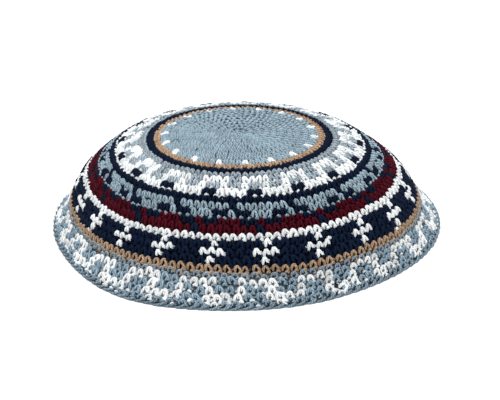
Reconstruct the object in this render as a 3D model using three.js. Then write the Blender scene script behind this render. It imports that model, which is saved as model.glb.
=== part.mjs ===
// Crocheted skullcap (kippah), worked in rounds from the middle of the crown out
// to the rim. Millimetres, +Z up, the rim flat on Z = 0, the near side at -Y.
// The cloth is one fabric in the real cap. Here it is split where a new set of
// yarns starts, so each mesh is one band of rounds, and each round is one rib.
import * as THREE from 'three';
import { mergeVertices } from 'three/addons/utils/BufferGeometryUtils.js';

// Cloth
const WALL = 2.6; // thickness of the crocheted fabric
const RIB_DEPTH = 0.45; // how far the groove between two rounds lies in
const BAND_GAP = 0.3; // clear space between two bands

// Roundness of the meshes
const SEGMENTS_AROUND = 48;
const SECTION_SAMPLES = 400;
const WELD_DISTANCE = 1e-4;

// Section of the outer face, from the middle of the crown down to the rim
const SECTION = [
  { place: 'crown centre', radius: 0.0, height: 43.2 },
  { place: 'crown field', radius: 18.0, height: 42.8 },
  { place: 'inner tan round', radius: 35.8, height: 41.0 },
  { place: 'shoulder', radius: 46.0, height: 38.7 },
  { place: 'foot of the upper key', radius: 55.3, height: 34.6 },
  { place: 'stepped band', radius: 62.1, height: 29.1 },
  { place: 'white round', radius: 68.2, height: 23.8 },
  { place: 'sprig band', radius: 72.6, height: 18.3 },
  { place: 'outer tan round', radius: 75.5, height: 13.2 },
  { place: 'lower key', radius: 78.6, height: 7.6 },
  { place: 'rim curl', radius: 83.6, height: 2.6 },
  { place: 'rim side', radius: 84.9, height: 1.1 },
  { place: 'rim foot', radius: 85.0, height: 0.0 },
];

// How the cap leans and bulges as it lies
const CROWN_HEIGHT = 41.1; // height at which the lean has its full size
const CROWN_SHIFT_X = -3.8; // the crown lies this far to the left of the rim
const CROWN_RISE_X = 1.25; // rise of the right side at the rim's radius
const CROWN_RISE_Y = -1.94; // rise of the far side at the rim's radius
const BACK_FULLNESS = 2.0; // the far wall is fuller by this, the near wall flatter
const RIM_RADIUS = 85.0;
const FLARE_TOP = 14.0; // the lower band flares below this height

// Places where the lower band swings out or is drawn in
const FLARES = [
  { place: 'near left', azimuth: -34, spread: 22, reach: 4.9 },
  { place: 'near right', azimuth: 43, spread: 33, reach: -4.0 },
];

// Yarn colours
const YARN = {
  slate: '#8ea2af',
  tan: '#c19a6b',
  navy: '#16243b',
  white: '#eef1f2',
  steel: '#6f8698',
  maroon: '#5e1420',
};
const YARN_ROUGHNESS = 0.9;
const YARN_METALNESS = 0.0;

// Bands from the crown to the rim: the rounds in each, and the width of a round
const BANDS = [
  { name: 'crown_disc', rounds: 10, pitch: 3.34, yarn: 'slate' },
  { name: 'inner_tan_round', rounds: 1, pitch: 3.0, yarn: 'tan' },
  { name: 'inner_navy_round', rounds: 1, pitch: 3.2, yarn: 'navy' },
  { name: 'upper_key_band', rounds: 4, pitch: 3.7, yarn: 'white' },
  { name: 'stepped_band', rounds: 4, pitch: 3.4, yarn: 'slate' },
  { name: 'maroon_round', rounds: 1, pitch: 3.3, yarn: 'maroon' },
  { name: 'white_round', rounds: 1, pitch: 3.0, yarn: 'white' },
  { name: 'sprig_band', rounds: 3, pitch: 3.3, yarn: 'navy' },
  { name: 'outer_tan_round', rounds: 1, pitch: 3.0, yarn: 'tan' },
  { name: 'lower_key_band', rounds: 5, pitch: 2.65, yarn: 'white' },
  { name: 'rim_edging', rounds: 1, pitch: 2.4, yarn: 'steel' },
];

// The section as a smooth curve, measured along its length
const sectionCurve = new THREE.SplineCurve(
  SECTION.map(({ radius, height }) => new THREE.Vector2(radius, height)),
);
sectionCurve.arcLengthDivisions = SECTION_SAMPLES;
const sectionLength = sectionCurve.getLength();

// Point of the section at a distance from the crown centre and a depth into the
// cloth, as radius and height; nothing goes below the surface the cap rests on
function sectionPoint(distance, depth) {
  const share = THREE.MathUtils.clamp(distance / sectionLength, 0, 1);
  const point = sectionCurve.getPointAt(share);
  const tangent = sectionCurve.getTangentAt(share);
  const onAxis = distance <= 0;
  const radius = onAxis ? 0 : point.x + tangent.y * depth;
  const height = onAxis ? point.y - depth : point.y - tangent.x * depth;
  const onRim = distance >= sectionLength;
  return new THREE.Vector2(radius, onRim ? 0 : Math.max(0, height));
}

// How far the lower band swings out at an azimuth and height
function flareReach(azimuth, height) {
  const low = THREE.MathUtils.smoothstep(FLARE_TOP - height, 0, FLARE_TOP);
  const degrees = THREE.MathUtils.radToDeg(azimuth);
  const swing = FLARES.reduce(
    (sum, flare) => sum + flare.reach * Math.exp(-(((degrees - flare.azimuth) / flare.spread) ** 2)),
    0,
  );
  return low * swing;
}

// Moves a point of the round cap to where it lies on the real, uneven one
function settle(point) {
  const azimuth = Math.atan2(point.x, -point.y);
  const rise = THREE.MathUtils.clamp(point.z / CROWN_HEIGHT, 0, 1);
  const fullness = 4 * rise * (1 - rise) * BACK_FULLNESS;
  const radius = Math.hypot(point.x, point.y);
  const out = radius === 0 ? 0 : flareReach(azimuth, point.z) - fullness * Math.cos(azimuth);
  const x = (radius + out) * Math.sin(azimuth) + CROWN_SHIFT_X * rise;
  const y = -(radius + out) * Math.cos(azimuth);
  const lean = rise * (CROWN_RISE_X * x + CROWN_RISE_Y * y) / RIM_RADIUS;
  return point.set(x, y, point.z + lean);
}

// Closed section of one band: the ribbed outer face down, the inner face back up
function bandSection({ rounds, pitch }, start, end) {
  const onAxis = start <= 0;
  const onRim = end >= sectionLength;
  const first = onAxis ? 0 : start + BAND_GAP / 2;
  const last = onRim ? end : end - BAND_GAP / 2;
  const step = (last - first) / rounds;
  const outer = [sectionPoint(first, onAxis ? 0 : RIB_DEPTH)];
  const inner = [sectionPoint(first, WALL)];
  for (let round = 0; round < rounds; round += 1) {
    outer.push(sectionPoint(first + step * (round + 0.5), 0));
    outer.push(sectionPoint(first + step * (round + 1), RIB_DEPTH));
    inner.push(sectionPoint(first + step * (round + 1), WALL));
  }
  const loop = [...outer, ...inner.reverse()];
  return onAxis ? loop : [...loop, loop[0].clone()];
}

// Welds a geometry's seam and drops the faces that shrink to nothing on the axis
function weld(geometry) {
  geometry.deleteAttribute('normal');
  geometry.deleteAttribute('uv');
  const welded = mergeVertices(geometry, WELD_DISTANCE);
  const index = Array.from(welded.getIndex().array);
  const kept = [];
  for (let corner = 0; corner < index.length; corner += 3) {
    const [a, b, c] = index.slice(corner, corner + 3);
    if (a !== b && b !== c && c !== a) kept.push(a, b, c);
  }
  welded.setIndex(kept);
  welded.computeVertexNormals();
  return welded;
}

// One band as a closed ring of cloth, or a disc where it starts on the axis
function bandMesh(band, start, end) {
  const section = bandSection(band, start, end).reverse();
  const geometry = new THREE.LatheGeometry(section, SEGMENTS_AROUND);
  geometry.rotateX(Math.PI / 2);
  const welded = weld(geometry);
  const positions = welded.getAttribute('position');
  const point = new THREE.Vector3();
  for (let vertex = 0; vertex < positions.count; vertex += 1) {
    settle(point.fromBufferAttribute(positions, vertex));
    positions.setXYZ(vertex, point.x, point.y, point.z);
  }
  welded.computeVertexNormals();
  const material = new THREE.MeshStandardMaterial({
    color: YARN[band.yarn],
    roughness: YARN_ROUGHNESS,
    metalness: YARN_METALNESS,
  });
  const mesh = new THREE.Mesh(welded, material);
  mesh.name = band.name;
  return mesh;
}

// The bands share out the section's length in proportion to their rounds
function cap() {
  const group = new THREE.Group();
  const width = BANDS.reduce((sum, { rounds, pitch }) => sum + rounds * pitch, 0);
  const stretch = sectionLength / width;
  let start = 0;
  BANDS.forEach((band, place) => {
    const isLast = place === BANDS.length - 1;
    const end = isLast ? sectionLength : start + band.rounds * band.pitch * stretch;
    group.add(bandMesh(band, start, end));
    start = end;
  });
  return group;
}

// The cap stands in the middle of its own footprint
const group = cap();
const footprint = new THREE.Box3().setFromObject(group).getCenter(new THREE.Vector3());
group.position.set(-footprint.x, -footprint.y, 0);

export default group;
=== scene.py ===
"""A crocheted skullcap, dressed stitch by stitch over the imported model.

Every band of the cap is a set of rounds. A round is a ring of single crochet
stitches, and a stitch is a few short strands of yarn: the loop that shows on
the right side, the filling inside the loop, the knot that peeks out at its
foot and the bar that shows inside the cap, all of them round a dense core. The
strands are shaped once in a flat cell of cloth, then carried round the cap by
whole-array arithmetic.
"""
import logging
from dataclasses import dataclass, replace
from enum import Enum

import bpy
import numpy as np
from mathutils import Matrix, Vector


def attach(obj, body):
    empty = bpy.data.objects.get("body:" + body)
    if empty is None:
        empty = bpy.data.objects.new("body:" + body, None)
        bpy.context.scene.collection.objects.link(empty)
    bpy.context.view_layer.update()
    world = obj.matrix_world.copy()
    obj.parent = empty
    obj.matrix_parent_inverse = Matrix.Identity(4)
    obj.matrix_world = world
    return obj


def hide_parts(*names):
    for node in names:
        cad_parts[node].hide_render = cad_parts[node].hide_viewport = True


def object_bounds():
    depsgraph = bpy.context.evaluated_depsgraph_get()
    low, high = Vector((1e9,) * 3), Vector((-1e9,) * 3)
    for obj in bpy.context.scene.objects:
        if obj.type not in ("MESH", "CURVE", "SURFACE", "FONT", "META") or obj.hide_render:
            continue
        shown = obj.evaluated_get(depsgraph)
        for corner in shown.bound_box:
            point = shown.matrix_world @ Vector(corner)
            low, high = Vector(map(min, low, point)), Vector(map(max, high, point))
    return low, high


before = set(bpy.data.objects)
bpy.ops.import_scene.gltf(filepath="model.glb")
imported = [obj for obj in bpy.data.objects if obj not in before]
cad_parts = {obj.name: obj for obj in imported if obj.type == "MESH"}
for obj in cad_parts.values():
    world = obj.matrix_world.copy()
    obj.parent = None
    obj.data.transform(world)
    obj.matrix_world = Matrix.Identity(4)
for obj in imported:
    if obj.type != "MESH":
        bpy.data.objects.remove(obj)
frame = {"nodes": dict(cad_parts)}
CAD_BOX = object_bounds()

LOG = logging.getLogger("skullcap")
MM = 0.001
TURN = 2.0 * np.pi
SEED = 5784


class Yarn(Enum):
    """The yarns of the cap. The value is the letter that the charts use."""

    SLATE = "S"
    TAN = "T"
    NAVY = "N"
    WHITE = "W"
    GREY = "G"
    STEEL = "E"
    MAROON = "M"


YARNS: tuple[Yarn, ...] = tuple(Yarn)

NOISE_SPAN = (0.3, 0.7)  # the values that a noise node mostly gives
NOISE_DETAIL = 3.0


@dataclass(frozen=True)
class YarnFinish:
    """The look of one yarn: plied cotton with a soft, dull surface.

    Attributes:
        yarn: which yarn it is.
        colour: its colour where it is fully lit, as sRGB from 0 to 1.
        shade: how bright the painted shade in the grooves between its plies is, next to the plies.
        lustre: strength of its highlights.
        plies: how many plies are twisted together.
        twist: grooves between plies for each millimetre along the strand.
        groove: values of the twist's sine at a groove's bottom and at its edge.
        relief: depth of the grooves, in metres.
        fibre_scale: cells of the fibres' noise in a metre.
        fibre_shades: darkest and lightest shade that the fibres give.
        fibre_roughness: roughness at the darkest and at the lightest fibres.
        fibre_relief: height of the fibres over the depth of the grooves.
        dye_scale: cells of the dye's noise in a metre.
        dye_shades: darkest and lightest shade that the dye gives.
    """

    yarn: Yarn
    colour: tuple[float, float, float]
    shade: float = 0.5
    lustre: float = 0.15
    plies: int = 3
    twist: float = 0.55
    groove: tuple[float, float] = (-1.0, 0.1)
    relief: float = 0.00022
    fibre_scale: float = 2600.0
    fibre_shades: tuple[float, float] = (0.8, 1.15)
    fibre_roughness: tuple[float, float] = (0.62, 0.9)
    fibre_relief: float = 0.5
    dye_scale: float = 120.0
    dye_shades: tuple[float, float] = (0.92, 1.08)

    def linear(self, gain: float = 1.0) -> tuple[float, float, float, float]:
        """Turns the colour into linear light by the sRGB curve.

        Args:
            gain: factor on the light.

        Returns:
            Red, green, blue and an alpha of one.
        """
        srgb = np.asarray(self.colour)
        light = np.where(srgb <= 0.04045, srgb / 12.92, ((srgb + 0.055) / 1.055) ** 2.4)
        return (*(float(c) * gain for c in light), 1.0)

    def material(self) -> bpy.types.Material:
        """Builds the node material.

        The twist of the plies is a sine of the strand map: one wave for each
        ply round the strand, sheared along it. It paints shade into the grooves
        and drives the bump, with fine noise for the fibres. Tone, a number kept on
        each strand, makes some strands lighter than others at random and also
        paints shade on the dense cores, in the snag's hole and on a few rounds,
        and a slow noise makes the dye a little uneven.

        Returns:
            The finished material.
        """
        made = bpy.data.materials.new(f"yarn_{self.yarn.name.lower()}")
        made.use_nodes = True
        tree = made.node_tree
        tree.nodes.clear()
        out = tree.nodes.new("ShaderNodeOutputMaterial")
        shader = tree.nodes.new("ShaderNodeBsdfPrincipled")
        shader.inputs["Metallic"].default_value = 0.0
        shader.inputs["Specular IOR Level"].default_value = self.lustre
        tree.links.new(shader.outputs["BSDF"], out.inputs["Surface"])

        strand = tree.nodes.new("ShaderNodeUVMap")
        strand.uv_map = "Strand"
        split = tree.nodes.new("ShaderNodeSeparateXYZ")
        tree.links.new(strand.outputs["UV"], split.inputs["Vector"])
        around = self._math(tree, "MULTIPLY", split.outputs["Y"], self.plies * TURN)
        wound = self._math(tree, "MULTIPLY_ADD", split.outputs["X"], self.twist * TURN)
        tree.links.new(around, wound.node.inputs[2])
        wave = self._math(tree, "SINE", wound)
        ridge = self._range(tree, wave, self.groove, (0.0, 1.0))

        place = tree.nodes.new("ShaderNodeTexCoord")
        fibre = self._noise(tree, place.outputs["Object"], self.fibre_scale)
        dye = self._noise(tree, place.outputs["Object"], self.dye_scale)

        tone = tree.nodes.new("ShaderNodeAttribute")
        tone.attribute_name = "Tone"
        # Painted shade in the grooves between the plies: there the colour falls to the colour
        # times the shade factor
        plied = tree.nodes.new("ShaderNodeMix")
        plied.data_type = "RGBA"
        plied.inputs["A"].default_value = self.linear(self.shade)
        plied.inputs["B"].default_value = self.linear()
        tree.links.new(ridge, plied.inputs["Factor"])
        fibre_shade = self._range(tree, fibre, NOISE_SPAN, self.fibre_shades)
        dye_shade = self._range(tree, dye, NOISE_SPAN, self.dye_shades)
        # Lightness per strand: random on most strands, painted shade on the cores, the snag's hole
        # and some rounds
        colour = self._scaled(tree, plied.outputs["Result"], tone.outputs["Fac"])
        colour = self._scaled(tree, colour, fibre_shade)
        colour = self._scaled(tree, colour, dye_shade)
        tree.links.new(colour, shader.inputs["Base Color"])
        roughness = self._range(tree, fibre, NOISE_SPAN, self.fibre_roughness)
        tree.links.new(roughness, shader.inputs["Roughness"])

        relief = self._math(tree, "MULTIPLY_ADD", fibre, self.fibre_relief)
        tree.links.new(ridge, relief.node.inputs[2])
        bump = tree.nodes.new("ShaderNodeBump")
        bump.inputs["Strength"].default_value = 1.0
        bump.inputs["Distance"].default_value = self.relief
        tree.links.new(relief, bump.inputs["Height"])
        tree.links.new(bump.outputs["Normal"], shader.inputs["Normal"])
        return made

    @staticmethod
    def _math(
        tree: bpy.types.NodeTree,
        operation: str,
        value: bpy.types.NodeSocket,
        factor: float = 0.0,
    ) -> bpy.types.NodeSocket:
        """Adds a math node on a value and a number.

        Args:
            tree: the material's nodes.
            operation: what the node works out.
            value: the node's first value.
            factor: its second value.

        Returns:
            The node's output.
        """
        node = tree.nodes.new("ShaderNodeMath")
        node.operation = operation
        tree.links.new(value, node.inputs[0])
        node.inputs[1].default_value = factor
        return node.outputs["Value"]

    @staticmethod
    def _noise(
        tree: bpy.types.NodeTree, place: bpy.types.NodeSocket, scale: float
    ) -> bpy.types.NodeSocket:
        """Adds a noise node.

        Args:
            tree: the material's nodes.
            place: the coordinates that the noise is laid over, in metres.
            scale: how many cells of noise there are in a metre.

        Returns:
            The node's output.
        """
        node = tree.nodes.new("ShaderNodeTexNoise")
        node.inputs["Scale"].default_value = scale
        node.inputs["Detail"].default_value = NOISE_DETAIL
        tree.links.new(place, node.inputs["Vector"])
        return node.outputs["Fac"]

    @staticmethod
    def _range(
        tree: bpy.types.NodeTree,
        value: bpy.types.NodeSocket,
        source: tuple[float, float],
        target: tuple[float, float],
    ) -> bpy.types.NodeSocket:
        """Adds a node that maps one range of values to another.

        Args:
            tree: the material's nodes.
            value: the value that is mapped.
            source: the range it comes from.
            target: the range it goes to.

        Returns:
            The node's output.
        """
        node = tree.nodes.new("ShaderNodeMapRange")
        node.inputs["From Min"].default_value, node.inputs["From Max"].default_value = source
        node.inputs["To Min"].default_value, node.inputs["To Max"].default_value = target
        tree.links.new(value, node.inputs["Value"])
        return node.outputs["Result"]

    @staticmethod
    def _scaled(
        tree: bpy.types.NodeTree, colour: bpy.types.NodeSocket, factor: bpy.types.NodeSocket
    ) -> bpy.types.NodeSocket:
        """Adds a node that multiplies a colour by a number.

        Args:
            tree: the material's nodes.
            colour: the colour.
            factor: the number.

        Returns:
            The node's output.
        """
        node = tree.nodes.new("ShaderNodeVectorMath")
        node.operation = "SCALE"
        tree.links.new(colour, node.inputs["Vector"])
        tree.links.new(factor, node.inputs["Scale"])
        return node.outputs["Vector"]


FINISHES: tuple[YarnFinish, ...] = (
    YarnFinish(Yarn.SLATE, (0.60, 0.685, 0.735)),
    YarnFinish(Yarn.TAN, (0.745, 0.622, 0.51)),
    YarnFinish(Yarn.NAVY, (0.035, 0.097, 0.195), lustre=0.08),
    # the white yarn's grooves get a lighter painted shade
    YarnFinish(Yarn.WHITE, (0.925, 0.94, 0.945), shade=0.84),
    YarnFinish(Yarn.GREY, (0.65, 0.705, 0.745)),
    YarnFinish(Yarn.STEEL, (0.575, 0.665, 0.725)),
    YarnFinish(Yarn.MAROON, (0.29, 0.036, 0.098), lustre=0.06),
)


@dataclass(frozen=True)
class SectionPoint:
    """One named point of the cap's section, in millimetres."""

    place: str
    radius: float
    height: float


@dataclass(frozen=True)
class Flare:
    """A stretch of the lower band that swings out, or in where reach is below 0.

    Attributes:
        azimuth: where it is, in degrees from the near side towards the right.
        spread: how wide it is, in degrees.
        reach: how far the rim moves out, in millimetres.
    """

    azimuth: float
    spread: float
    reach: float


SECTION: tuple[SectionPoint, ...] = (
    SectionPoint("crown centre", 0.0, 43.2),
    SectionPoint("crown field", 18.0, 42.8),
    SectionPoint("inner tan round", 35.8, 41.0),
    SectionPoint("shoulder", 46.0, 38.7),
    SectionPoint("foot of the upper key", 55.3, 34.6),
    SectionPoint("stepped band", 62.1, 29.1),
    SectionPoint("white round", 68.2, 23.8),
    SectionPoint("sprig band", 72.6, 18.3),
    SectionPoint("outer tan round", 75.5, 13.2),
    SectionPoint("lower key", 78.6, 7.6),
    SectionPoint("rim curl", 83.6, 2.6),
    SectionPoint("rim side", 84.9, 1.1),
    SectionPoint("rim foot", 85.0, 0.0),
)
CURVE_STEPS = 32  # straight steps from one named point of the section to the next
FIT_GRID = (160, 361)  # places down and round the cap that its size is taken from


@dataclass(frozen=True)
class CapForm:
    """The form of the cloth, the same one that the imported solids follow.

    A place on the cloth is an azimuth from the near side, a distance down the
    section from the crown's centre, and a depth below the outer face.

    Attributes:
        scale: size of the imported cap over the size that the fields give.
        shift: move of the form that puts its footprint over the origin, in mm.
        crown_height: height at which the lean has its full size, in mm.
        crown_shift: how far the crown lies to the right of the rim, in mm.
        crown_rise_x: rise of the right side at the rim's radius, in mm.
        crown_rise_y: rise of the far side at the rim's radius, in mm.
        back_fullness: how far the far wall stands out and the near one in, in mm.
        still_radius: radius inside which this fades away towards the axis, in mm.
        rim_radius: radius of the rim, in mm.
        flare_top: height below which the lower band flares, in mm.
        flares: where the lower band swings out or in.
    """

    scale: float = 1.0
    shift: tuple[float, float] = (0.0, 0.0)
    crown_height: float = 41.1
    crown_shift: float = -3.8
    crown_rise_x: float = 1.25
    crown_rise_y: float = -1.94
    back_fullness: float = 2.0
    still_radius: float = 2.0
    rim_radius: float = 85.0
    flare_top: float = 14.0
    flares: tuple[Flare, ...] = (Flare(-34.0, 22.0, 4.9), Flare(43.0, 33.0, -4.0))

    @classmethod
    def fitted_to(cls, low: Vector, high: Vector) -> "CapForm":
        """Makes the form as large as a box and centred over it.

        Args:
            low: the box's lowest corner, in metres.
            high: its highest corner.

        Returns:
            The form that stands in the box.
        """
        plain = cls()
        distance = np.linspace(0.0, plain.length, FIT_GRID[0])[:, None]
        azimuth = np.linspace(-np.pi, np.pi, FIT_GRID[1])[None, :]
        places = plain.places(azimuth, distance, 0.0).reshape(-1, 3)
        own_low, own_high = places.min(0), places.max(0)
        scale = (high.z - low.z) / (own_high[2] - own_low[2])
        middle = (own_low + own_high) / 2.0 / MM
        return cls(scale=float(scale), shift=(-float(middle[0]), -float(middle[1])))

    @property
    def samples(self) -> tuple[np.ndarray, np.ndarray, np.ndarray]:
        """Samples of the smooth curve through the section's named points.

        On each stretch the curve is a cubic, whose slope at a point is half
        the step from the point before it to the point after it.

        Returns:
            Distances down the section, and the radius and height at each, in mm.
        """
        points = np.array([(p.radius, p.height) for p in SECTION])
        padded = np.vstack([points[:1], points, points[-1:]])
        before, start, end, after = padded[:-3], padded[1:-2], padded[2:-1], padded[3:]
        share = np.linspace(0.0, 1.0, CURVE_STEPS + 1)[None, :-1, None]
        slope_in, slope_out = (end - before) / 2.0, (after - start) / 2.0
        start, end = start[:, None], end[:, None]
        slope_in, slope_out = slope_in[:, None], slope_out[:, None]
        curve = (
            (2 * start - 2 * end + slope_in + slope_out) * share**3
            + (-3 * start + 3 * end - 2 * slope_in - slope_out) * share**2
            + slope_in * share
            + start
        )
        line = np.vstack([curve.reshape(-1, 2), points[-1:]])
        steps = np.hypot(*np.diff(line, axis=0).T)
        return np.concatenate([[0.0], np.cumsum(steps)]), line[:, 0], line[:, 1]

    @property
    def length(self) -> float:
        """Length of the section from the crown's centre to the rim's foot, in mm."""
        return float(self.samples[0][-1])

    def radius_at(self, distance: float) -> float:
        """Radius of the outer face at a distance down the section, in mm."""
        known, radius, _ = self.samples
        return float(np.interp(distance, known, radius))

    def places(
        self, azimuth: np.ndarray, distance: np.ndarray, depth: np.ndarray | float
    ) -> np.ndarray:
        """Turns places on the cloth into points in space.

        The point lies on the section at the distance, moved in by the depth
        along the section's normal. The ring it is on is then shifted and
        tilted in proportion to its height, made fuller at the back, most of
        all half way up, and swung out near the rim by a bell-shaped function
        of the azimuth. Nothing goes below the surface that the cap rests on.

        Args:
            azimuth: radians from the near side towards the right.
            distance: millimetres down the section.
            depth: millimetres below the outer face.

        Returns:
            Points in metres, with a last axis of three.
        """
        known, radii, heights = self.samples
        slope_r, slope_h = np.gradient(radii, known), np.gradient(heights, known)
        size = np.hypot(slope_r, slope_h)
        azimuth, distance, depth = np.broadcast_arrays(azimuth, distance, depth)
        along_r = np.interp(distance, known, slope_r / size)
        along_h = np.interp(distance, known, slope_h / size)
        past = np.maximum(distance - known[-1], 0.0)
        radius = np.interp(distance, known, radii) + along_h * depth + along_r * past
        height = np.interp(distance, known, heights) - along_r * depth + along_h * past
        rise = np.clip(height / self.crown_height, 0.0, 1.0)
        fullness = 4.0 * rise * (1.0 - rise) * self.back_fullness
        fade = np.clip(radius / self.still_radius, 0.0, 1.0)
        out = self._swing(azimuth, height) - fullness * np.cos(azimuth)
        radius = radius + out * fade
        x = radius * np.sin(azimuth) + self.crown_shift * rise
        y = -radius * np.cos(azimuth)
        lean = rise * (self.crown_rise_x * x + self.crown_rise_y * y) / self.rim_radius
        z = np.maximum(height + lean, 0.0)
        flat = np.stack([x + self.shift[0], y + self.shift[1], z], axis=-1)
        return flat * (MM * self.scale)

    def _swing(self, azimuth: np.ndarray, height: np.ndarray) -> np.ndarray:
        """Works out how far the lower band swings out.

        Each flare is a bell-shaped function of the azimuth. All of them fade
        in smoothly from the flare's top down to the rim.

        Args:
            azimuth: radians from the near side towards the right.
            height: millimetres above the rim's foot.

        Returns:
            How far each place moves out, in mm.
        """
        low = np.clip(1.0 - height / self.flare_top, 0.0, 1.0)
        low = low * low * (3.0 - 2.0 * low)
        degrees = (np.degrees(azimuth) + 180.0) % 360.0 - 180.0
        swing = sum(
            flare.reach * np.exp(-(((degrees - flare.azimuth) / flare.spread) ** 2))
            for flare in self.flares
        )
        return low * swing


@dataclass(frozen=True)
class Strand:
    """A short piece of yarn in a stitch's cell of flat cloth.

    The path's points are (across, along, out): across in stitch widths to the
    right, along in round heights towards the rim, and out in strand radii
    above the strand's rest depth.

    Attributes:
        path: the points that the middle of the strand passes near.
        steps: how many stretches the strand is cut into.
        girth: thickness of this strand over the yarn's own thickness.
        rest_depth: depth of the strand's middle below the outer face, in mm.
        tile: corner and size of its patch in the stitch's square of the bake map.
        sides: how many sides its round profile has.
        end_girth: thickness of its two ends over its thickness elsewhere.
    """

    path: tuple[tuple[float, float, float], ...]
    steps: int
    girth: float
    rest_depth: float
    tile: tuple[float, float, float, float]
    sides: int = 5
    end_girth: float = 0.55

    def tube(self, width: float, height: float, radius: float) -> tuple[np.ndarray, np.ndarray]:
        """Sweeps a round profile along the path.

        The path is sampled as a smooth curve. At each sample the side
        direction is the tangent crossed with the way out of the cloth, and
        the profile is a circle in the plane of that side direction and its
        own cross with the tangent. The last ring at each end is drawn in, so
        that the end is rounded.

        Args:
            width: width of one stitch, in mm.
            height: height of one round, in mm.
            radius: radius of the yarn, in mm.

        Returns:
            The rings, as steps by sides by (across, along, out) in mm, and
            the distance along the strand of each ring, in mm.
        """
        thick = radius * self.girth
        points = np.array(self.path) * (width, height, thick)
        line = spline(points, self.steps + 1)
        tangent = unit(np.gradient(line, axis=0))
        side = unit(np.cross(tangent, (0.0, 0.0, 1.0)))
        up = np.cross(side, tangent)
        swell = np.ones(self.steps + 1)
        swell[[0, -1]] = self.end_girth
        turn = np.arange(self.sides) * TURN / self.sides
        ring = (
            np.cos(turn)[None, :, None] * side[:, None] + np.sin(turn)[None, :, None] * up[:, None]
        )
        rings = line[:, None] + ring * (thick * swell)[:, None, None]
        run = np.concatenate([[0.0], np.cumsum(np.linalg.norm(np.diff(line, axis=0), axis=1))])
        return rings, run


SHORTEST = 1e-12  # lengths below this count as this, so that nothing is divided by zero


def unit(vectors: np.ndarray) -> np.ndarray:
    """Scales vectors on the last axis to a length of one."""
    return vectors / np.maximum(np.linalg.norm(vectors, axis=-1, keepdims=True), SHORTEST)


def spline(points: np.ndarray, count: int) -> np.ndarray:
    """Samples a smooth curve through points.

    From one point to the next the curve is a cubic, whose slope at a point is
    half the step from the point before it to the point after it.

    Args:
        points: the points, one in a row.
        count: how many samples to take, evenly in the curve's parameter.

    Returns:
        The samples, one in a row.
    """
    padded = np.vstack([2 * points[0] - points[1], points, 2 * points[-1] - points[-2]])
    where = np.linspace(0.0, len(points) - 1, count)
    index = np.minimum(where.astype(int), len(points) - 2)
    t = (where - index)[:, None]
    before, start, end, after = (padded[index + i] for i in range(4))
    return 0.5 * (
        2 * start
        + (end - before) * t
        + (2 * before - 5 * start + 4 * end - after) * t**2
        + (3 * start - before - 3 * end + after) * t**3
    )


# Patches of a stitch's square in the bake map, as corner and size
LOOP_TILE = (0.03, 0.04, 0.94, 0.36)
FILL_TILE = (0.03, 0.44, 0.45, 0.24)
KNOT_TILE = (0.52, 0.44, 0.45, 0.24)
HEM_TILE = (0.03, 0.44, 0.94, 0.24)
BAR_TILE = (0.03, 0.72, 0.45, 0.24)
CORE_TILE = (0.52, 0.72, 0.45, 0.24)

ARCH = Strand(
    path=(
        (-0.27, 1.00, -1.3),
        (-0.27, 0.80, -0.3),
        (-0.255, 0.55, 0.30),
        (-0.20, 0.33, 0.55),
        (-0.03, 0.17, 0.60),
        (0.14, 0.22, 0.60),
        (0.235, 0.40, 0.55),
        (0.275, 0.62, 0.35),
        (0.32, 0.82, 0.0),
        (0.36, 0.97, -0.5),
        (0.38, 1.07, -1.3),
    ),
    steps=10,
    girth=1.0,
    rest_depth=1.0,
    tile=LOOP_TILE,
)
PEAK = Strand(
    path=(
        (-0.37, 1.04, -1.3),
        (-0.32, 0.86, -0.2),
        (-0.25, 0.62, 0.35),
        (-0.16, 0.36, 0.55),
        (0.0, 0.16, 0.60),
        (0.15, 0.36, 0.60),
        (0.25, 0.62, 0.45),
        (0.33, 0.86, 0.0),
        (0.39, 1.06, -1.3),
    ),
    steps=9,
    girth=1.0,
    rest_depth=1.0,
    tile=LOOP_TILE,
)
FILL = Strand(
    path=((0.0, 0.20, -0.7), (0.0, 0.32, 0.10), (0.01, 0.45, 0.05), (0.02, 0.60, -1.3)),
    steps=3,
    girth=0.95,
    rest_depth=1.0,
    tile=FILL_TILE,
)
KNOT = Strand(
    path=(
        (0.04, 1.17, -1.0),
        (0.15, 1.04, 0.1),
        (0.28, 0.98, 0.5),
        (0.41, 1.04, 0.1),
        (0.52, 1.17, -1.0),
    ),
    steps=4,
    girth=1.0,
    rest_depth=1.0,
    tile=KNOT_TILE,
)
BAR = Strand(
    path=(
        (-0.62, 0.58, 0.9),
        (-0.30, 0.46, 0.0),
        (0.0, 0.42, -0.25),
        (0.30, 0.46, 0.0),
        (0.62, 0.58, 0.9),
    ),
    steps=4,
    girth=1.0,
    rest_depth=2.05,
    tile=BAR_TILE,
)
LEAF = Strand(
    path=(
        (-0.54, 1.00, -1.0),
        (-0.38, 0.92, 0.1),
        (-0.08, 0.68, 0.45),
        (0.20, 0.38, 0.45),
        (0.42, 0.14, 0.1),
        (0.58, 0.02, -1.1),
    ),
    steps=7,
    girth=1.08,
    rest_depth=0.95,
    tile=LOOP_TILE,
)
HEM = Strand(
    path=(
        (-0.74, 0.74, -0.9),
        (-0.35, 0.95, -0.1),
        (0.05, 1.00, 0.15),
        (0.42, 0.92, -0.1),
        (0.76, 0.72, -1.0),
    ),
    steps=5,
    girth=0.9,
    rest_depth=0.95,
    tile=HEM_TILE,
)


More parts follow.
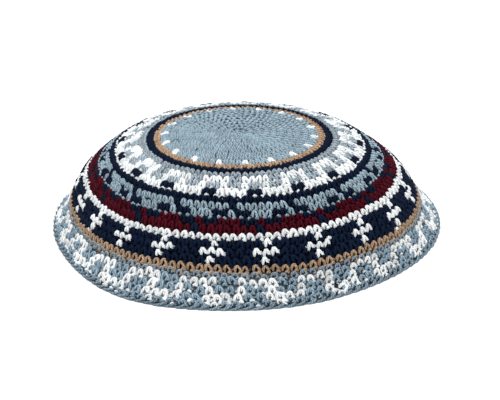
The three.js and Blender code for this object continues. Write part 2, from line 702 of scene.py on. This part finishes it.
@dataclass
class YarnMesh:
    """Collects tubes of yarn, and turns them into one object.

    Attributes:
        name: the object's name.
        squares: how many squares the bake map is divided into.
    """

    name: str
    squares: int

    def __post_init__(self) -> None:
        """Starts with nothing collected."""
        self.points: list[np.ndarray] = []
        self.corners: list[np.ndarray] = []
        self.sizes: list[np.ndarray] = []
        self.yarns: list[np.ndarray] = []
        self.tones_and_shade: list[np.ndarray] = []
        self.strand_map: list[np.ndarray] = []
        self.bake_map: list[np.ndarray] = []
        self.count = 0

    def add_tubes(
        self,
        tubes: np.ndarray,
        yarns: np.ndarray,
        tones_and_shade: np.ndarray,
        squares: np.ndarray,
        tile: tuple[float, float, float, float],
        run: np.ndarray,
    ) -> None:
        """Adds many tubes of the same make, each shut by a flat face at its ends.

        A tube is a grid of rings by sides. Its quad (i, j) joins the points
        (i, j), (i, j+1), (i+1, j+1) and (i+1, j), with j+1 wrapping round.
        The maps give each corner the distance along the strand and the share
        of the way round.

        Args:
            tubes: points in metres, as tubes by rings by sides by three.
            yarns: the number of each tube's yarn.
            tones_and_shade: the lightness of each tube, partly random and partly painted shade.
            squares: which square of the bake map each tube uses.
            tile: corner and size of its patch in that square, from 0 to 1.
            run: distance along the strand of each ring, in mm.
        """
        copies, rings, sides = tubes.shape[:3]
        corner = np.arange(rings * sides).reshape(rings, sides)
        after = np.roll(corner, -1, axis=1)
        quads = np.stack([corner[:-1], after[:-1], after[1:], corner[1:]], axis=-1)
        order = np.concatenate([quads.ravel(), corner[0, ::-1], corner[-1]])
        sizes = np.append(np.full((rings - 1) * sides, 4), (sides, sides))
        side = np.broadcast_to(np.arange(sides), (rings - 1, sides))
        turn = np.stack([side, side + 1, side + 1, side], axis=-1).ravel()
        turn = np.concatenate([turn, np.arange(sides)[::-1], np.arange(sides)]) / sides
        along = run[order // sides]
        strand = np.stack([along, turn], axis=-1)
        patch = np.stack([(along - run[0]) / (run[-1] - run[0]), turn], axis=-1)
        patch = np.array(tile[:2]) + patch * np.array(tile[2:])
        per_side = int(np.ceil(np.sqrt(self.squares)))
        origin = np.stack([squares % per_side, squares // per_side], axis=-1)
        first = self.count + np.arange(copies) * rings * sides
        self.points.append(tubes.reshape(-1, 3))
        self.corners.append((first[:, None] + order).ravel())
        self.sizes.append(np.tile(sizes, copies))
        self.yarns.append(np.repeat(yarns, len(sizes)))
        self.tones_and_shade.append(np.repeat(tones_and_shade, rings * sides))
        self.strand_map.append(np.tile(strand, (copies, 1)))
        self.bake_map.append(((origin[:, None] + patch) / per_side).reshape(-1, 2))
        self.count += copies * rings * sides

    def build(self, materials: dict[Yarn, bpy.types.Material]) -> bpy.types.Object:
        """Makes the object, with its maps, its lightness and painted shade, and a slot for each
        yarn used.

        Args:
            materials: the material of each yarn.

        Returns:
            The new object, at the origin.
        """
        points = np.concatenate(self.points)
        corners = np.concatenate(self.corners)
        sizes = np.concatenate(self.sizes)
        mesh = bpy.data.meshes.new(self.name)
        mesh.vertices.add(len(points))
        mesh.vertices.foreach_set("co", points.astype(np.float32).ravel())
        mesh.loops.add(len(corners))
        mesh.loops.foreach_set("vertex_index", corners.astype(np.int32))
        mesh.polygons.add(len(sizes))
        starts = np.concatenate([[0], np.cumsum(sizes)[:-1]])
        mesh.polygons.foreach_set("loop_start", starts.astype(np.int32))
        used, index = np.unique(np.concatenate(self.yarns), return_inverse=True)
        mesh.polygons.foreach_set("material_index", index.astype(np.int32).ravel())
        mesh.polygons.foreach_set("use_smooth", np.ones(len(sizes), dtype=bool))
        for layer, parts in (("Strand", self.strand_map), ("OFBake", self.bake_map)):
            uv = mesh.uv_layers.new(name=layer)
            uv.data.foreach_set("uv", np.concatenate(parts).astype(np.float32).ravel())
        tone = mesh.attributes.new("Tone", "FLOAT", "POINT")
        tone.data.foreach_set("value", np.concatenate(self.tones_and_shade).astype(np.float32))
        for number in used:
            mesh.materials.append(materials[YARNS[number]])
        mesh.update(calc_edges=True)
        made = bpy.data.objects.new(self.name, mesh)
        bpy.context.scene.collection.objects.link(made)
        return made


class Spread(Enum):
    """How the stitches of a round are spread: evenly, or by a column of Tension."""

    EVEN = "even"
    STEPS = "steps"
    RIM = "rim"


@dataclass(frozen=True)
class Tension:
    """How far the hand's tension has moved the stitches at one azimuth.

    Attributes:
        azimuth: where it is, in degrees from the near side towards the right.
        steps: how far round the stepped band's stitches have moved, in degrees.
        rim: the same for the white round and what lies below it.
        key_down: how far down the upper key has moved, in mm.
        steps_down: the same for the stepped band.
        white_down: the same for the white round.
        foot_down: the same for the lower key.
    """

    azimuth: float
    steps: float
    rim: float
    key_down: float
    steps_down: float
    white_down: float
    foot_down: float


TENSIONS: tuple[Tension, ...] = (
    Tension(-80.0, 0.1, 8.4, 0.9, 0.4, 0.7, 1.7),
    Tension(-60.0, -0.6, 4.6, 1.2, 1.1, 1.7, 1.7),
    Tension(-45.0, -1.2, 2.2, 1.2, 1.4, 2.4, 1.4),
    Tension(-27.0, -1.2, 0.3, 0.7, 0.2, 1.2, 0.3),
    Tension(-5.0, 0.5, 0.0, 0.1, -0.1, 0.5, 0.1),
    Tension(20.0, 2.3, 0.6, 0.1, 0.4, 0.0, 0.6),
    Tension(45.0, 4.6, 1.1, 0.1, -0.1, -0.8, 0.1),
    Tension(75.0, 7.2, 1.6, 0.7, -0.6, -0.5, 1.2),
    Tension(180.0, 2.0, 4.5, 0.0, 0.0, 0.0, 0.0),
)
# In mm down the section: where each dip is full, and the limits past which there is none
DIP_PLACES = {"key_down": 44.0, "steps_down": 61.0, "white_down": 72.0, "foot_down": 93.0}
DIP_LIMITS = (20.0, 102.0)


def drawn(azimuth: np.ndarray, spread: Spread) -> np.ndarray:
    """Moves stitches round the cap, as the hand's tension has.

    From one row of the tension table to the next, the move follows a straight
    line.

    Args:
        azimuth: where the stitches of an even round would be, in radians.
        spread: the column of the table that moves them.

    Returns:
        Where the stitches are, in radians.
    """
    if spread is Spread.EVEN:
        return azimuth
    known = [row.azimuth for row in TENSIONS]
    moved = [getattr(row, spread.value) for row in TENSIONS]
    return azimuth + np.radians(np.interp(np.degrees(azimuth), known, moved, period=360.0))


def dipped(azimuth: np.ndarray, distance: np.ndarray) -> np.ndarray:
    """Moves places down the cap, as the hand's tension has.

    From one row of the tension table to the next, a dip follows a straight
    line. It is full at its own place down the section and fades out in a
    straight line towards the places on either side.

    Args:
        azimuth: radians from the near side towards the right.
        distance: millimetres down the section.

    Returns:
        The distances after the dips, in mm.
    """
    known, degrees = [row.azimuth for row in TENSIONS], np.degrees(azimuth)
    places = np.array([DIP_LIMITS[0], *DIP_PLACES.values(), DIP_LIMITS[1]])
    moved = 0.0
    for column, place in DIP_PLACES.items():
        dips = [getattr(row, column) for row in TENSIONS]
        dip = np.interp(degrees, known, dips, period=360.0)
        moved = moved + dip * np.interp(distance, places, (places == place).astype(float))
    return distance + moved


@dataclass(frozen=True)
class Snag:
    """A place where one stitch has been pulled aside and has left a hole.

    Attributes:
        azimuth: where it is, in degrees from the near side towards the right.
        lean: how far the stitch lies over to the right, in radians.
        swell: size of the stitch over the size of the others.
        move: how far it has moved right and down, in widths and round heights.
        hole_painted_shade: lightness of the dense middle of the cloth in the hole, a painted shade
            that makes the hole dark.
    """

    azimuth: float
    lean: float = 1.05
    swell: float = 1.2
    move: tuple[float, float] = (0.6, 0.48)
    hole_painted_shade: float = 0.02


@dataclass(frozen=True)
class Round:
    """One round of stitches.

    Attributes:
        stitches: how many stitches the round has.
        chart: the letters of one repeat, read to the right.
        start: azimuth of a repeat's first stitch, in degrees.
        height: height of the round down the section, in mm.
        knots: letters that a stray knot at a stitch's foot is drawn from.
        strays: share of the knots that are stray; the rest are of the stitch's
            own yarn.
        carried: letters of the yarn that runs through the stitches, or an
            empty string where it is the stitch's own.
        spread: how the stitches are spread round the cap.
        tone: lightness given to all of the round's strands, which paints shade on some rounds.
        snag: the snag in this round, if there is one.
    """

    stitches: int
    chart: str
    start: float
    height: float
    knots: str = ""
    strays: float = 0.0
    carried: str = ""
    spread: Spread = Spread.EVEN
    tone: float = 1.0
    snag: Snag | None = None

    def yarns(self) -> np.ndarray:
        """The number of each stitch's yarn, all the way round."""
        letters = (self.chart * (self.stitches // len(self.chart) + 1))[: self.stitches]
        return np.array([YARNS.index(Yarn(letter)) for letter in letters])

    def drawn_yarns(self, letters: str, share: float, rng: np.random.Generator) -> np.ndarray:
        """Draws a yarn for each stitch.

        Args:
            letters: the yarns that are drawn from, or none for the stitches' own.
            share: share of the stitches that a yarn is drawn for.
            rng: the source of the draws.

        Returns:
            The number of the yarn at each stitch, all the way round.
        """
        if not letters:
            return self.yarns()
        other = rng.choice([YARNS.index(Yarn(letter)) for letter in letters], self.stitches)
        return np.where(rng.random(self.stitches) < share, other, self.yarns())

    def azimuths(self) -> np.ndarray:
        """Azimuth of each stitch, in radians."""
        even = np.radians(self.start) + TURN * np.arange(self.stitches) / self.stitches
        return drawn(even, self.spread)

    def snagged(self) -> np.ndarray:
        """Finds the stitch that is nearest to the snag.

        Returns:
            For each stitch, whether the snag has pulled it aside.
        """
        if self.snag is None:
            return np.zeros(self.stitches, dtype=bool)
        away = np.abs(self.azimuths() - np.radians(self.snag.azimuth))
        return away == away.min()


# Spread of the differences between stitches: the first two for each unit of looseness
LEAN_SPREAD = 1.8  # radians
SLANT_SPREAD = 2.5  # sideways over downwards
SIZE_SPREAD = 0.065
LIFT_SPREAD = 0.06  # mm

SEEDS_PER_MM = 10.0  # so that each band draws differences of its own
CENTRE_GAP = 0.05  # nearest that the cloth comes to the crown's centre, in mm
CORE_REACH = (-0.52, 0.0, 0.52)  # across a core in stitch widths, so that cores overlap


@dataclass
class CrochetBand:
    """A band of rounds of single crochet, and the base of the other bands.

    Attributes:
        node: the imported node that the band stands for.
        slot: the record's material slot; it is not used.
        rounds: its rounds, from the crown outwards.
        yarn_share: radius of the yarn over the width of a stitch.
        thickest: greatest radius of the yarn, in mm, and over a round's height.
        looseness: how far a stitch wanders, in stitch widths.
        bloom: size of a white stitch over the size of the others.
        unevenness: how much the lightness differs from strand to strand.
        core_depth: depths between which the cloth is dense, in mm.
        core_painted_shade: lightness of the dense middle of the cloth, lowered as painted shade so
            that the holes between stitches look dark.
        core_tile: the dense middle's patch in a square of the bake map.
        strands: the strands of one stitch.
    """

    node: str
    slot: str
    rounds: tuple[Round, ...]
    yarn_share: float = 0.225
    thickest: tuple[float, float] = (0.78, 0.26)
    looseness: float = 0.05
    bloom: float = 1.0
    unevenness: float = 0.07
    core_depth: tuple[float, float] = (1.55, 1.95)
    core_painted_shade: float = 0.28
    core_tile: tuple[float, float, float, float] = CORE_TILE
    strands: tuple[Strand, ...] = (ARCH, FILL, KNOT, BAR)

    @property
    def height(self) -> float:
        """Height of the band down the section before it is stretched, in mm."""
        return sum(ring.height for ring in self.rounds)

    def build(
        self,
        form: CapForm,
        start: float,
        stretch: float,
        materials: dict[Yarn, bpy.types.Material],
    ) -> bpy.types.Object:
        """Works the band's rounds one after another.

        Args:
            form: the form of the cap.
            start: distance of the band's start down the section, in mm.
            stretch: real height of a round over the height that it states.
            materials: the material of each yarn.

        Returns:
            The band as one object.
        """
        mesh = YarnMesh(f"{self.node}_stitches", sum(ring.stitches for ring in self.rounds))
        rng = np.random.default_rng(SEED + int(start * SEEDS_PER_MM))
        square = 0
        for ring in self.rounds:
            height = ring.height * stretch
            self._core(mesh, form, ring, start, height, square, rng)
            self._stitches(mesh, form, ring, start, height, square, rng)
            start += height
            square += ring.stitches
        return mesh.build(materials)

    def _stitches(
        self,
        mesh: YarnMesh,
        form: CapForm,
        ring: Round,
        start: float,
        height: float,
        square: int,
        rng: np.random.Generator,
    ) -> None:
        """Adds the strands of one round's stitches.

        A strand's point at (across, along, out) goes to the azimuth of its
        stitch plus across over the round's radius, the distance of the
        round's start plus along, and the strand's rest depth less out. Each
        stitch is slanted, turned, moved and swollen a little at random first.
        A stitch at a snag lies over to the right and leaves a hole.

        Args:
            mesh: where the strands are added.
            form: the form of the cap.
            ring: the round.
            start: distance of the round's start down the section, in mm.
            height: height of the round, in mm.
            square: the bake map's square of the round's first stitch.
            rng: the source of the small differences between stitches.
        """
        radius = form.radius_at(start + height / 2.0)
        width = TURN * radius / ring.stitches
        yarn = min(self.yarn_share * width, self.thickest[0], self.thickest[1] * height)
        count = ring.stitches
        own, knots = ring.yarns(), ring.drawn_yarns(ring.knots, ring.strays, rng)
        lean = rng.normal(0.0, LEAN_SPREAD * self.looseness, count)
        shear = rng.normal(0.0, SLANT_SPREAD * self.looseness, (count, 1, 1))
        white = own == YARNS.index(Yarn.WHITE)
        swell = np.where(white, self.bloom, 1.0) + rng.normal(0.0, SIZE_SPREAD, count)
        move = rng.normal(0.0, self.looseness * width, (count, 2))
        lift = rng.normal(0.0, LIFT_SPREAD, count)
        if ring.snag:
            pulled = ring.snagged()
            lean[pulled], shear[pulled], swell[pulled] = ring.snag.lean, 0.0, ring.snag.swell
            move[pulled] = np.array(ring.snag.move) * (width, height)
        cos, sin = np.cos(lean)[:, None, None], np.sin(lean)[:, None, None]
        middle = height / 2.0
        for strand in self.strands:
            rings, run = strand.tube(width, height, yarn)
            across, along, out = (rings[None, ..., axis] for axis in range(3))
            along = along - middle
            across = across + shear * along
            turned_x = (across * cos - along * sin) * swell[:, None, None]
            turned_y = (across * sin + along * cos) * swell[:, None, None]
            azimuth = ring.azimuths()[:, None, None] + (turned_x + move[:, :1, None]) / radius
            distance = dipped(azimuth, start + middle + turned_y + move[:, 1:, None])
            depth = strand.rest_depth - out - lift[:, None, None]
            mesh.add_tubes(
                form.places(azimuth, np.maximum(distance, CENTRE_GAP), depth),
                knots if strand is KNOT else own,
                ring.tone * (1.0 + rng.normal(0.0, self.unevenness, count)),
                square + np.arange(count),
                strand.tile,
                run,
            )

    def _core(
        self,
        mesh: YarnMesh,
        form: CapForm,
        ring: Round,
        start: float,
        height: float,
        square: int,
        rng: np.random.Generator,
    ) -> None:
        """Adds the dense middle of the cloth under one round.

        It is a low closed box under each stitch: the section's rectangle from
        the outer to the inner core depth, carried across the stitch's width. Its
        colour is the carried yarn's, darkened as painted shade, so that the holes
        between the stitches look dark.

        Args:
            mesh: where the core is added.
            form: the form of the cap.
            ring: the round.
            start: distance of the round's start down the section, in mm.
            height: height of the round, in mm.
            square: the bake map's square of the round's first stitch.
            rng: the source of the carried yarns.
        """
        outer, inner = self.core_depth
        step = TURN / ring.stitches
        edge = ring.azimuths()[:, None, None] + step * np.array(CORE_REACH)[:, None]
        near, far = max(start, CENTRE_GAP), min(start + height, form.length)
        distance = dipped(edge, np.array([near, far, far, near]))
        depth = np.array([inner, inner, outer, outer])
        # Painted shade: the core's colour is darkened so that the holes between stitches look
        # shaded
        tones_and_shade = np.full(ring.stitches, self.core_painted_shade * ring.tone)
        # At the snag, the core in the hole is painted nearly black as shade
        if ring.snag:
            tones_and_shade[ring.snagged()] = ring.snag.hole_painted_shade
        mesh.add_tubes(
            form.places(edge, distance, depth)[:, ::-1],
            ring.drawn_yarns(ring.carried, 1.0, rng),
            tones_and_shade,
            square + np.arange(ring.stitches),
            self.core_tile,
            np.linspace(0.0, 1.0, len(CORE_REACH)) * step * form.radius_at(start + height / 2.0),
        )


@dataclass
class RimEdging(CrochetBand):
    """The chain of slip stitches that finishes the rim, in one round."""

    strands: tuple[Strand, ...] = (LEAF, HEM, BAR)
    looseness: float = 0.035
    unevenness: float = 0.1
    # a darker painted shade in the holes of the edging
    core_painted_shade: float = 0.12
    thickest: tuple[float, float] = (0.62, 0.26)


# The crown, which grows by the same number of stitches in each round but the last
CROWN_INCREASE = 8
CROWN_GROWN = 9  # rounds that grow
CROWN_ROUND = 3.34  # height of a round, in mm
CROWN_TURN = 137.5  # degrees from the start of one round to the start of the next
SPOTS = "WSSS"  # chart of the last round
SPOTS_START = 4.8  # azimuth of a white spot, in degrees


def crown_rounds() -> tuple[Round, ...]:
    """Works the crown: rounds that grow, then one with white spots.

    Returns:
        The rounds, from the middle outwards.
    """
    grown = tuple(
        Round(CROWN_INCREASE * place, "S", CROWN_TURN * place, CROWN_ROUND)
        for place in range(1, CROWN_GROWN + 1)
    )
    return (*grown, Round(CROWN_INCREASE * CROWN_GROWN, SPOTS, SPOTS_START, CROWN_ROUND))


# Stitches in the rounds of the bands below the crown
TAN_STITCHES, NAVY_STITCHES, KEY_STITCHES = 90, 96, 102
STEPS_TOP_STITCHES, STEPS_STITCHES, RIM_STITCHES = 112, 128, 120
DRIFT = 0.24  # stitches by which a round starts to the left of the one above


@dataclass(frozen=True)
class ChartRow:
    """One round of a chart. Its letters are the Round's chart, and the rest is as there."""

    letters: str
    height: float
    knots: str = ""
    strays: float = 0.0
    carried: str = ""


def charted(
    rows: tuple[ChartRow, ...],
    stitches: int,
    start: float,
    spread: Spread = Spread.EVEN,
    tone: float = 1.0,
) -> tuple[Round, ...]:
    """Works a chart's rows, each set a little to the left of the one above.

    Args:
        rows: the rows, from the crown outwards.
        stitches: how many stitches each round has.
        start: azimuth of the first repeat in the first row, in degrees.
        spread: how the stitches are spread round the cap.
        tone: lightness given to the strands of every round.

    Returns:
        The rounds, from the crown outwards.
    """
    drift = -DRIFT * 360.0 / stitches
    return tuple(
        Round(
            stitches,
            row.letters,
            start + drift * place,
            row.height,
            row.knots,
            row.strays,
            row.carried,
            spread,
            tone,
        )
        for place, row in enumerate(rows)
    )


UPPER_KEY = (
    ChartRow("WWWWGG", 4.3, "W", 0.4),
    ChartRow("WGGWGG", 3.7, "W", 0.6),
    ChartRow("WNNWWW", 4.15, "W", 1.0),
)
STEPS = (
    ChartRow("NSSSSSSS", 3.4, "NS", 0.3, "N"),
    ChartRow("SNNSSSNN", 3.5, "S", 1.0, "N"),
    ChartRow("MMNNMNNM", 3.05, "M", 0.3),
)
SPRIGS = (
    ChartRow("WNNNNN", 3.35, "N" * 29 + "W", 1.0, "N"),
    ChartRow("WWNNNW", 3.4, "N", 1.0, "N"),
    ChartRow("WNNNNN", 3.6, "N" * 20 + "W", 1.0, "N"),
)
LOWER_KEY = (
    ChartRow("WWWWEE", 2.65, "E", 0.25),
    ChartRow("WEEWEE", 3.05, "W", 0.4),
    ChartRow("WEEWWW", 3.1, "EWW", 0.5),
    ChartRow("EEEEWE", 1.85, "W", 0.3, "E"),
)
SNAG = Snag(27.5)
OPEN = (ARCH, KNOT, BAR)  # a stitch that shows the core inside its loop
PEAKED = (PEAK, FILL, KNOT, BAR)  # a stitch with a pointed loop


def bands() -> tuple[CrochetBand, ...]:
    """Sets out the cap's bands and works their charts.

    Returns:
        The bands, from the crown to the rim.
    """
    rim, shifted = Spread.RIM, Spread.STEPS
    inner_tan = Round(TAN_STITCHES, "T", 1.0, 2.8, tone=0.93)
    inner_navy = Round(NAVY_STITCHES, "N", 0.0, 3.4)
    key_head = Round(KEY_STITCHES, "G", 3.6, 2.9, tone=0.88)
    upper_key = (key_head, *charted(UPPER_KEY, KEY_STITCHES, 3.4))
    steps_head = Round(STEPS_TOP_STITCHES, "N", 2.0, 3.4)
    steps = (steps_head, *charted(STEPS, STEPS_STITCHES, -3.7, shifted))
    step_foot = Round(STEPS_STITCHES, "MMMMNMMM", -5.7, 3.9, spread=shifted)
    white = Round(RIM_STITCHES, "W", 8.9, 2.75, carried="M", spread=rim)
    sprigs = charted(SPRIGS, RIM_STITCHES, 8.2, rim)
    outer_tan = Round(RIM_STITCHES, "T", 0.4, 2.8, carried="N", spread=rim, tone=0.85)
    # The grey round's low lightness is painted shade: it lies in the groove under the outer tan
    grey = Round(RIM_STITCHES, "G", -0.2, 2.1, "T", 0.1, carried="E", spread=rim, tone=0.72)
    key_top, key_middle, key_foot, key_edge = charted(LOWER_KEY, RIM_STITCHES, -1.0, rim, 0.96)
    lower_key = (grey, key_top, key_middle, replace(key_foot, snag=SNAG), key_edge)
    # The edging's low lightness is painted shade at the foot of the rim
    edging = Round(RIM_STITCHES, "E", 0.0, 2.4, spread=rim, tone=0.68)
    # each band's core lightness paints the shade in the holes between its stitches
    return (
        CrochetBand("crown_disc", "slate_yarn", crown_rounds(), yarn_share=0.245, looseness=0.033),
        CrochetBand("inner_tan_round", "tan_yarn", (inner_tan,)),
        CrochetBand("inner_navy_round", "navy_yarn", (inner_navy,)),
        CrochetBand("upper_key_band", "white_yarn", upper_key, bloom=1.1, core_painted_shade=0.42),
        CrochetBand("stepped_band", "slate_yarn", steps, yarn_share=0.215, strands=OPEN),
        CrochetBand("maroon_round", "maroon_yarn", (step_foot,), core_painted_shade=0.8),
        CrochetBand("white_round", "white_yarn", (white,), yarn_share=0.185),
        CrochetBand("sprig_band", "navy_yarn", sprigs, bloom=0.93, strands=PEAKED),
        CrochetBand(
            "outer_tan_round",
            "tan_yarn",
            (outer_tan,),
            yarn_share=0.165,
            unevenness=0.1,
            strands=OPEN,
        ),
        CrochetBand(
            "lower_key_band",
            "white_yarn",
            lower_key,
            yarn_share=0.155,
            looseness=0.07,
            bloom=1.05,
            unevenness=0.09,
            core_painted_shade=0.24,
        ),
        RimEdging("rim_edging", "steel_yarn", (edging,)),
    )


@dataclass(frozen=True)
class PhotoCamera:
    """A camera at the photograph's place.

    Attributes:
        elevation: height above the horizon, in degrees.
        distance: distance from the middle of the rim, in metres.
        focal: focal length, in pixels of the photograph.
        middle: where the middle of the rim falls, in pixels of the photograph.
        roll: turn of the picture to the left, in degrees.
        frame: width and height of the photograph, in pixels.
        sensor: width of the sensor, in millimetres.
        clip: nearest and farthest distance that the camera sees, in metres.
    """

    elevation: float = 25.18
    distance: float = 0.8582
    focal: float = 1957.4
    middle: tuple[float, float] = (247.6, 221.1)
    roll: float = -0.37
    frame: tuple[int, int] = (500, 400)
    sensor: float = 36.0
    clip: tuple[float, float] = (0.05, 20.0)

    def build(self, form: CapForm) -> bpy.types.Object:
        """Makes the camera and gives it to the scene.

        Args:
            form: the form of the cap, whose shift moves the middle of the rim.

        Returns:
            The camera.
        """
        data = bpy.data.cameras.new("photo_camera")
        data.sensor_width = self.sensor
        data.lens = self.sensor * self.focal / self.frame[0]
        data.shift_x = (self.frame[0] / 2 - self.middle[0]) / self.frame[0]
        data.shift_y = (self.middle[1] - self.frame[1] / 2) / self.frame[0]
        data.clip_start, data.clip_end = self.clip
        up = np.radians(self.elevation)
        back = Vector((0.0, -np.cos(up), np.sin(up)))
        aim = Vector((form.shift[0] * MM, form.shift[1] * MM, 0.0))
        turn = (-back).to_track_quat("-Z", "Y").to_matrix().to_4x4()
        roll = Matrix.Rotation(-np.radians(self.roll), 4, "Z")
        made = bpy.data.objects.new("photo_camera", data)
        made.matrix_world = Matrix.Translation(aim + back * self.distance) @ turn @ roll
        bpy.context.scene.collection.objects.link(made)
        bpy.context.scene.camera = made
        return made


@dataclass(frozen=True)
class SoftBox:
    """A large square lamp that looks at the cap.

    Attributes:
        name: the lamp's name.
        place: where it hangs, in metres.
        size: length of its side, in metres.
        power: its power, in watts.
        aim: the place that it looks at, in metres.
    """

    name: str
    place: tuple[float, float, float]
    size: float
    power: float
    aim: tuple[float, float, float] = (0.0, 0.0, 0.02)

    def build(self) -> bpy.types.Object:
        """Makes the lamp, turned towards the cap.

        Returns:
            The lamp.
        """
        data = bpy.data.lights.new(self.name, "AREA")
        data.shape, data.size, data.energy = "SQUARE", self.size, self.power
        made = bpy.data.objects.new(self.name, data)
        gaze = Vector(self.aim) - Vector(self.place)
        made.location = self.place
        made.rotation_mode = "QUATERNION"
        made.rotation_quaternion = gaze.to_track_quat("-Z", "Y")
        bpy.context.scene.collection.objects.link(made)
        return made


@dataclass(frozen=True)
class Studio:
    """The pale floor, the even sky and the lamps of the studio.

    Attributes:
        floor_half: half of the length of the floor's side, in metres.
        floor_colour: the floor's colour in linear light, with its alpha.
        floor_roughness: roughness of the floor.
        sky_colour: the sky's colour in linear light, with its alpha.
        sky_strength: brightness of the sky.
        lamps: the lamps.
    """

    floor_half: float = 6.0
    floor_colour: tuple[float, float, float, float] = (0.86, 0.86, 0.86, 1.0)
    floor_roughness: float = 0.9
    sky_colour: tuple[float, float, float, float] = (1.0, 1.0, 1.0, 1.0)
    sky_strength: float = 0.85
    lamps: tuple[SoftBox, ...] = (
        SoftBox("top_light", (-0.2, 0.1, 1.6), 1.4, 22.0),
        SoftBox("near_light", (0.6, -1.4, 1.1), 1.0, 4.5),
    )

    def build(self) -> None:
        """Lays the floor, lights the sky and hangs the lamps."""
        half = self.floor_half
        corners = [(-half, -half, 0.0), (half, -half, 0.0), (half, half, 0.0), (-half, half, 0.0)]
        mesh = bpy.data.meshes.new("floor")
        mesh.from_pydata(corners, [], [(0, 1, 2, 3)])
        paint = bpy.data.materials.new("floor_paint")
        paint.use_nodes = True
        shader = paint.node_tree.nodes["Principled BSDF"]
        shader.inputs["Base Color"].default_value = self.floor_colour
        shader.inputs["Roughness"].default_value = self.floor_roughness
        mesh.materials.append(paint)
        floor = bpy.data.objects.new("floor", mesh)
        bpy.context.scene.collection.objects.link(floor)
        world = bpy.data.worlds.new("studio_sky")
        world.use_nodes = True
        sky = world.node_tree.nodes["Background"]
        sky.inputs["Color"].default_value = self.sky_colour
        sky.inputs["Strength"].default_value = self.sky_strength
        bpy.context.scene.world = world
        for lamp in self.lamps:
            lamp.build()


def main() -> None:
    """Builds the cap band by band, then the studio and the camera."""
    logging.basicConfig(level=logging.INFO, format="%(name)s: %(message)s")
    form = CapForm.fitted_to(*CAD_BOX)
    materials = {finish.yarn: finish.material() for finish in FINISHES}
    cap = bands()
    stretch = form.length / sum(band.height for band in cap)
    start = 0.0
    for band in cap:
        piece = band.build(form, start, stretch, materials)
        start += band.height * stretch
        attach(piece, "root")
        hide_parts(band.node)
        LOG.info("%s: %d faces", piece.name, len(piece.data.polygons))
    Studio().build()
    PhotoCamera().build(form)
    bpy.context.scene.view_settings.view_transform = "Standard"


if __name__ == "__main__":
    main()
